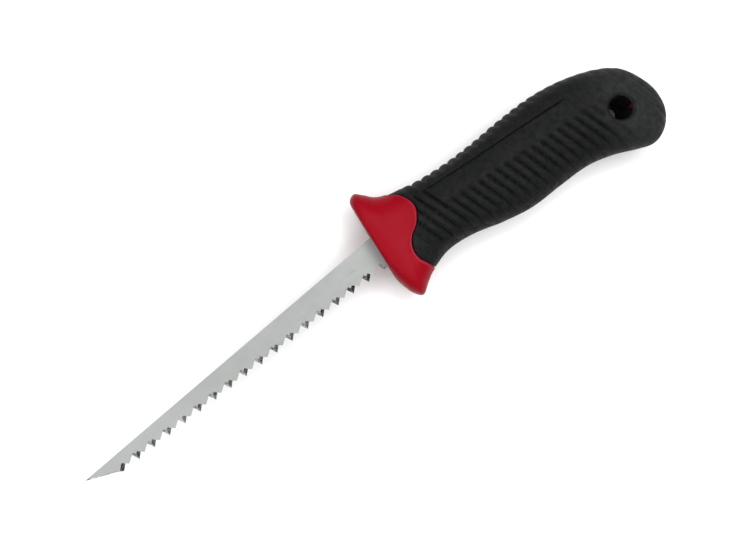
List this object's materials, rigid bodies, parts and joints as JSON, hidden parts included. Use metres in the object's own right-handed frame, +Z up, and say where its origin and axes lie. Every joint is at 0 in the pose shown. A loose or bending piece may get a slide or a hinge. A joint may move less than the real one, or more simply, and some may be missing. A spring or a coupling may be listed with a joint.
{
  "type": "drywall saw",
  "caption": "Drywall saw (jab saw) with a fixed pointed blade of ground teeth, a flared hard plastic guard and a ribbed soft grip with a hanging hole.",
  "frame": {"origin": "below the middle of the saw as it lies on its side, on the surface it lies on", "axes": "+X along the handle from the blade's tip towards the butt, +Y from the teeth towards the spine, +Z up through the thickness, square to the blade's flat"},
  "size_m": [0.277, 0.0488, 0.028],
  "materials": {
    "blade_steel": "satin",
    "core_plastic": "satin",
    "grip_rubber": "matte"
  },
  "bodies": {
    "root": {"blade": "blade_steel", "handle_core": "core_plastic", "grip": "grip_rubber"}
  },
  "joints": []
}
